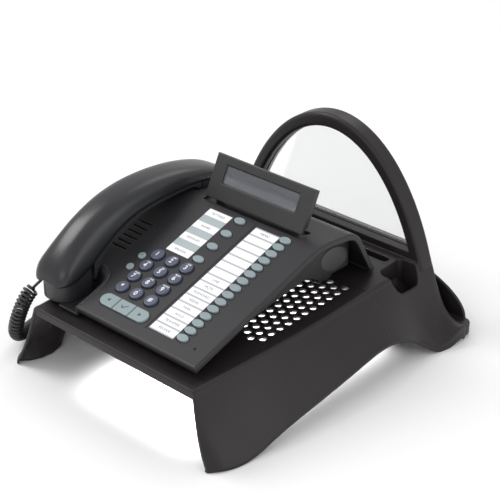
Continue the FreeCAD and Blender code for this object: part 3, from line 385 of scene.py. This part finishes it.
def add_outline(collected, points, low, high):
    """A flat prism over a closed outline."""
    bottom = [collected.verts.new((x, y, low)) for x, y in points]
    top = [collected.verts.new((x, y, high)) for x, y in points]
    collected.faces.new(top)
    collected.faces.new(bottom[::-1])
    for index in range(len(points)):
        after = (index + 1) % len(points)
        collected.faces.new((bottom[index], bottom[after], top[after], top[index]))


def panel_piece(name, collected, finish, body):
    """Closes what was collected in the panel's axes into one piece on the panel."""
    mesh = bpy.data.meshes.new(name)
    collected.to_mesh(mesh)
    collected.free()
    mesh.transform(PANEL)
    return new_piece(name, mesh, finish, body)


# Each dial key's digit, and the letters above it.
DIAL_LEGENDS = {
    "1": ("1", ""), "2": ("2", "ABC"), "3": ("3", "DEF"), "4": ("4", "GHI"), "5": ("5", "JKL"),
    "6": ("6", "MNO"), "7": ("7", "PQRS"), "8": ("8", "TUV"), "9": ("9", "WXYZ"),
    "star": ("*", ""), "0": ("0", "+"), "hash": ("#", ""),
}

# Text sizes of the legends, and how much the dial's strokes are thickened.
DIGIT_SIZE = 0.0072
DIGIT_BOLD = 0.00016
LETTER_SIZE = 0.0026
LETTER_BOLD = 0.00006
VOLUME_SIGN_SIZE = 0.0052
# Places from the middle of a dial key, across and up: a digit alone, a digit that has letters
# above it, and those letters.
LONE_DIGIT = (-0.0004, 0.0)
LOWERED_DIGIT = (-0.0004, -0.0008)
LETTERS = (0.0008, 0.0038)


def make_legends():
    """The digits and letters on the dial keys, and the signs on the volume keys."""
    for key, (digit, letters) in DIAL_LEGENDS.items():
        low, high = panel_box("dial_key_" + key)
        middle = (low + high) / 2
        drawn = bmesh.new()
        across, up = LOWERED_DIGIT if letters else LONE_DIGIT
        add_text(drawn, digit, DIGIT_SIZE, (middle.x + across, middle.y + up, high.z), DIGIT_BOLD)
        if letters:
            across, up = LETTERS
            spot = (middle.x + across, middle.y + up, high.z)
            add_text(drawn, letters, LETTER_SIZE, spot, LETTER_BOLD)
        panel_piece("legend_" + key, drawn, "legend", "dial_key_" + key)
    for key, sign in (("up", "+"), ("down", "-")):
        low, high = panel_box("volume_key_" + key)
        middle = (low + high) / 2
        drawn = bmesh.new()
        add_text(drawn, sign, VOLUME_SIGN_SIZE, (middle.x, middle.y, high.z))
        panel_piece("legend_volume_" + key, drawn, "mark", "volume_key_" + key)


# Outlines of the marks on the menu keys, in millimetres from the middle of a key.
ARROW = ((-2.0, 0.0), (1.5, 2.1), (1.5, -2.1))
TICK = ((-3.8, 0.2), (-2.9, 1.1), (-1.3, -0.8), (3.3, 3.2), (3.9, 2.5), (-1.3, -2.4))


def make_menu_marks():
    """The arrows and the tick on the menu keys. The right arrow is the left one mirrored."""
    for key, outline, turn in (("left", ARROW, 1), ("ok", TICK, 1), ("right", ARROW, -1)):
        low, high = panel_box("menu_key_" + key)
        middle = (low + high) / 2
        points = [(middle.x + turn * x * MM, middle.y + y * MM) for x, y in outline]
        drawn = bmesh.new()
        add_outline(drawn, points[::turn], high.z - MARK_SUNK, high.z + MARK_PROUD)
        panel_piece("mark_" + key, drawn, "mark", "menu_key_" + key)


# ---------------------------------------------------------------- label strips

# The top of the printed rows above the panel, and the text size of the words on each strip.
LABEL_TOP = 0.00006
LONG_WORD_SIZE = 0.0040
SHORT_WORD_SIZE = 0.0038
# The gap between the long strip's rows. The short strip's rows touch.
LONG_ROW_GAP = 0.0021
# The strips' left, right, front and rear edges on the panel, in millimetres.
LONG_STRIP = (-38.2, -8.3, -5.2, 145.7)
SHORT_STRIP = (-98.7, -69.3, 80.3, 145.2)
# The words on the strips, from the front row to the rear one. Some rows are blank.
LONG_WORDS = ("RELEASE", "TRANSFER", "HOLD", "PARK", "REDIAL", "FORWARD", "MUTE", "LINE", "",
              "", "", "", "", "", "MENU")
SHORT_WORDS = ("SPEAKER", "", "MESSAGES", "", "NAMES", "", "SETTINGS")


def rows_between(low, high, count, gap):
    """The lower and upper edges of count equal rows, with a gap between them."""
    step = (high - low) / count
    return [(low + index * step + gap / 2, low + (index + 1) * step - gap / 2)
            for index in range(count)]


def print_strip(strip, words, size, gap, grounds, ink):
    """One row for each word: its ground, taken from grounds in turn, and the word in ink."""
    left, right, low, high = [edge * MM for edge in strip]
    rows = rows_between(low, high, len(words), gap)
    for index, ((bottom, top), word) in enumerate(zip(rows, words)):
        corners = ((left, bottom), (right, bottom), (right, top), (left, top))
        add_outline(grounds[index % len(grounds)], corners, 0.0, LABEL_TOP)
        if word:
            add_text(ink, word, size, ((left + right) / 2, (bottom + top) / 2, LABEL_TOP))


def make_label_rows():
    """The long strip's white rows, and the short strip's white and grey ones."""
    white = bmesh.new()
    ink = bmesh.new()
    print_strip(LONG_STRIP, LONG_WORDS, LONG_WORD_SIZE, LONG_ROW_GAP, (white,), ink)
    panel_piece("long_label_rows", white, "white", "root")
    panel_piece("long_label_words", ink, "ink", "root")

    white = bmesh.new()
    grey = bmesh.new()
    ink = bmesh.new()
    print_strip(SHORT_STRIP, SHORT_WORDS, SHORT_WORD_SIZE, 0.0, (white, grey), ink)
    panel_piece("short_label_white", white, "white", "root")
    panel_piece("short_label_grey", grey, "grey", "root")
    panel_piece("short_label_words", ink, "ink", "root")


# ---------------------------------------------------------------- handset

HANDSET_WALL = 0.0022
# The handset in plan, in millimetres: the x of its middle, half its width, its front and rear
# ends, and the radii of its corners at them.
HANDSET_MIDDLE = -98.5
HANDSET_HALF = 22.9
HANDSET_ENDS = (9.3, 250.4)
CORNER_RADII = (13.4, 17.4)
# The exponent of its superellipse in cross section. At 2 it would be a plain ellipse.
HANDSET_FULLNESS = 2.7

# The handset's crown and its seam in the side view, front to back, in millimetres.
CROWN = ((9.3, 97.0), (13.0, 107.0), (21.0, 117.5), (38.0, 132.0), (60.0, 145.5), (91.0, 157.0),
         (123.0, 162.0), (155.0, 162.0), (188.0, 158.0), (222.0, 149.0), (244.0, 138.0),
         (250.4, 130.0))
SEAM = ((9.3, 94.8), (26.0, 97.0), (44.0, 104.0), (60.0, 115.0), (84.0, 130.0), (112.0, 140.0),
        (150.0, 144.0), (187.0, 143.5), (214.0, 140.0), (238.0, 133.0), (250.4, 127.0))


def height_at(line, y):
    """Height of a side line at y, on a smooth curve through its points."""
    count = len(line)
    index = max(i for i in range(count - 1) if line[i][0] <= y or i == 0)
    (y0, z0), (y1, z1) = line[index], line[index + 1]
    before = line[max(index - 1, 0)]
    after = line[min(index + 2, count - 1)]
    slope_in = (z1 - before[1]) / (y1 - before[0])
    slope_out = (after[1] - z0) / (after[0] - y0)
    run = y1 - y0
    t = (y - y0) / run
    return (z0 * (1 + 2 * t) * (1 - t) ** 2 + z1 * t * t * (3 - 2 * t)
            + run * slope_in * t * (1 - t) ** 2 - run * slope_out * t * t * (1 - t))


def half_width(y):
    """Half the handset's width at y, with its rounded plan corners."""
    front, rear = HANDSET_ENDS
    radius, room = CORNER_RADII[0], y - front
    if rear - y < CORNER_RADII[1]:
        radius, room = CORNER_RADII[1], rear - y
    if room >= radius:
        return HANDSET_HALF
    return HANDSET_HALF - radius + math.sqrt(max(radius ** 2 - (radius - room) ** 2, 0.0))


def handset_stations():
    """Places along the handset, closer together at its ends."""
    front, rear = HANDSET_ENDS
    steps = 72
    return [front + (rear - front) * (1 - math.cos(math.pi * step / steps)) / 2
            for step in range(steps + 1)]


def make_handset_upper():
    """The handset's crowned upper shell, a smooth dome over its seam."""
    across = 32
    power = 2 / HANDSET_FULLNESS
    mesh = bmesh.new()
    rows = []
    for y in handset_stations():
        seam, crown, half = height_at(SEAM, y), height_at(CROWN, y), half_width(y)
        row = []
        for step in range(across + 1):
            angle = math.pi * step / across
            side, rise = math.cos(angle), math.sin(angle)
            x = HANDSET_MIDDLE - half * math.copysign(abs(side) ** power, side)
            z = seam + (crown - seam) * max(rise, 0.0) ** power
            row.append(mesh.verts.new(place(x, y, z)))
        rows.append(row)
    for near, far in zip(rows, rows[1:]):
        for step in range(across):
            mesh.faces.new((near[step], near[step + 1], far[step + 1], far[step]))
    bmesh.ops.recalc_face_normals(mesh, faces=mesh.faces)
    data = bpy.data.meshes.new("handset_crown")
    mesh.to_mesh(data)
    mesh.free()
    smooth(data)
    crown = new_piece("handset_crown", data, "handset", "handset")
    wall = crown.modifiers.new("wall", "SOLIDIFY")
    wall.thickness = HANDSET_WALL
    wall.offset = -1.0
    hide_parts("handset_upper_shell")


# ---------------------------------------------------------------- lip of the mouth well

LIP_RADIUS = 0.0028
# How far the middle of the lip's round section lies below the panel, in millimetres.
LIP_SINK = 1.0
# The raised lip along the right side of the mouth well and round its rear corner: x and y in
# millimetres, and the lip's share of LIP_RADIUS there.
WELL_LIP = ((-58.9, 18.0, 0.6), (-58.8, 24.0, 0.9), (-58.6, 34.0, 1.0), (-58.8, 44.0, 1.0),
            (-61.6, 55.0, 0.9), (-69.5, 63.6, 0.7), (-80.0, 66.4, 0.35))


def make_well_lip():
    """A round bead that follows the well's edge and thins out at its ends."""
    points = [place(x, y, panel_height(y) - LIP_SINK) for x, y, share in WELL_LIP]
    line = nurbs_line("well_lip", points)
    for control, (x, y, share) in zip(line.splines[0].points, WELL_LIP):
        control.radius = share
    line.bevel_depth = LIP_RADIUS
    line.bevel_resolution = 5
    line.use_fill_caps = True
    new_piece("well_lip", mesh_of(line), "handset", "root")


# ---------------------------------------------------------------- curly cord

# The cord's route from the handset's plug to the telephone's, in millimetres.
CORD_ROUTE = (
    (-124.0, 27.0, 84.0), (-125.6, 26.4, 82.6), (-129.6, 22.4, 77.6), (-134.0, 12.0, 66.0),
    (-137.5, 4.0, 48.0), (-143.5, 2.5, 29.0), (-151.5, 10.5, 15.5), (-158.5, 26.5, 9.7),
    (-163.0, 45.5, 9.7), (-165.0, 64.5, 14.5), (-165.5, 81.5, 24.5), (-163.5, 95.5, 38.5),
    (-158.5, 105.5, 54.5), (-149.5, 111.5, 70.5), (-136.5, 113.0, 83.0), (-129.0, 112.7, 85.6),
    (-119.5, 112.0, 86.0))
# The wire's diameter, the radius of the coil to the wire's middle, the pitch of its turns, and
# the length of lead at each end before the coil is fully open.
WIRE = 0.0029
COIL_RADIUS = 0.0064
COIL_PITCH = 0.0040
LEAD = 0.018
POINTS_PER_TURN = 16


def helix_points(line):
    """The wire's centreline round a route: a coil that opens within one turn at each end."""
    lengths = [0.0]
    for before, after in zip(line, line[1:]):
        lengths.append(lengths[-1] + (after - before).length)
    total = lengths[-1]
    coiled = total - 2 * LEAD
    turns = round(coiled / COIL_PITCH)
    count = turns * POINTS_PER_TURN
    side = Vector((0, 1, 0))
    points = [line[0]]
    index = 0
    for step in range(-POINTS_PER_TURN, count + POINTS_PER_TURN + 1):
        along = LEAD + coiled * step / count
        while lengths[index + 1] < along and index < len(line) - 2:
            index += 1
        ahead = (line[index + 1] - line[index]).normalized()
        spot = line[index] + ahead * (along - lengths[index])
        side = (side - ahead * side.dot(ahead)).normalized()
        over = ahead.cross(side)
        opening = min(1.0, (step + POINTS_PER_TURN) / POINTS_PER_TURN,
                      (count + POINTS_PER_TURN - step) / POINTS_PER_TURN)
        swell = opening * opening * (3 - 2 * opening)
        angle = 2 * math.pi * step / POINTS_PER_TURN
        points.append(spot + swell * COIL_RADIUS * (side * math.cos(angle) + over * math.sin(angle)))
    points.append(line[-1])
    return points


def make_cord():
    """The cord's real helix, shown instead of the CAD model's plain tube."""
    route = line_points(nurbs_line("cord_route", [place(*point) for point in CORD_ROUTE]))
    wire = nurbs_line("wire", helix_points(route))
    wire.resolution_u = 1
    centre = line_points(wire)
    wire.bevel_depth = WIRE / 2
    wire.bevel_resolution = 3
    wire.use_fill_caps = True
    cord = new_piece("curly_cord", mesh_of(wire), "cord", None)
    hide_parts("handset_cord")
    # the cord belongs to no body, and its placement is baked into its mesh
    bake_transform(cord)


# ---------------------------------------------------------------- putting it together

make_camera()
make_stage()
finish_nodes()
make_cord()
make_handset_upper()
make_well_lip()
make_legends()
make_menu_marks()
make_label_rows()
